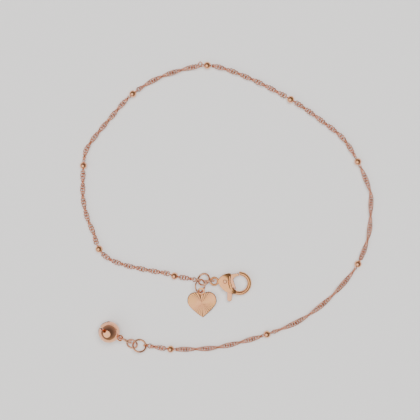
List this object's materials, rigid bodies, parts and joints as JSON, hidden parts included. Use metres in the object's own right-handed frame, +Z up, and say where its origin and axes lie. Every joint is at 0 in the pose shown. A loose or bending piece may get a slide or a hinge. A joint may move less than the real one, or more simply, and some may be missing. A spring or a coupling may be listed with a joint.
{
  "type": "anklet",
  "caption": "Fine twisted-chain anklet with small beads, lying unfastened in an open loop, with a lobster clasp, a ray-cut heart charm and a small round bell.",
  "frame": {"origin": "on the table under the middle of the anklet's box", "axes": "+Z up from the table; +Y from the clasp side of the open loop towards its far side; +X from the bell side towards the right of the loop"},
  "size_m": [0.0732, 0.0725, 0.0053],
  "materials": {
    "chain": "bright diamond-cut rose gold plate",
    "beads": "polished rose gold plate",
    "rings": "polished rose gold plate",
    "bell": "mirror polished rose gold plate",
    "heart": "ray-cut rose gold plate",
    "clasp": "polished rose gold plate",
    "clasp_lever": "polished rose gold plate",
    "clasp_rivet": "polished rose gold plate"
  },
  "bodies": {
    "anklet": {"chain_01": "chain", "chain_02": "chain", "chain_03": "chain", "chain_04": "chain", "chain_05": "chain", "chain_06": "chain", "chain_07": "chain", "chain_08": "chain", "chain_09": "chain", "chain_10": "chain", "chain_11": "chain", "bead_01": "beads", "bead_02": "beads", "bead_03": "beads", "bead_04": "beads", "bead_05": "beads", "bead_06": "beads", "bead_07": "beads", "bead_08": "beads", "bead_09": "beads", "bead_10": "beads", "end_ring": "rings", "middle_ring": "rings", "bell_link": "rings", "end_link_a": "rings", "end_link_b": "rings", "clasp_side_ring": "rings", "charm_ring": "rings", "clasp_ring": "rings", "bell": "bell", "heart_charm": "heart", "clasp_body": "clasp", "clasp_rivet": "clasp_rivet"},
    "clasp_lever": {"clasp_lever": "clasp_lever"}
  },
  "joints": [
    {"name": "clasp_lever_hinge", "type": "hinge", "parent": "anklet", "child": "clasp_lever", "pos_m": [-0.00045, -0.0184, 0.0011], "axis": [0, 0, -1], "range_deg": [0, 25], "stiffness_Nm_per_rad": 0.002, "springref_deg": -11.46}
  ]
}
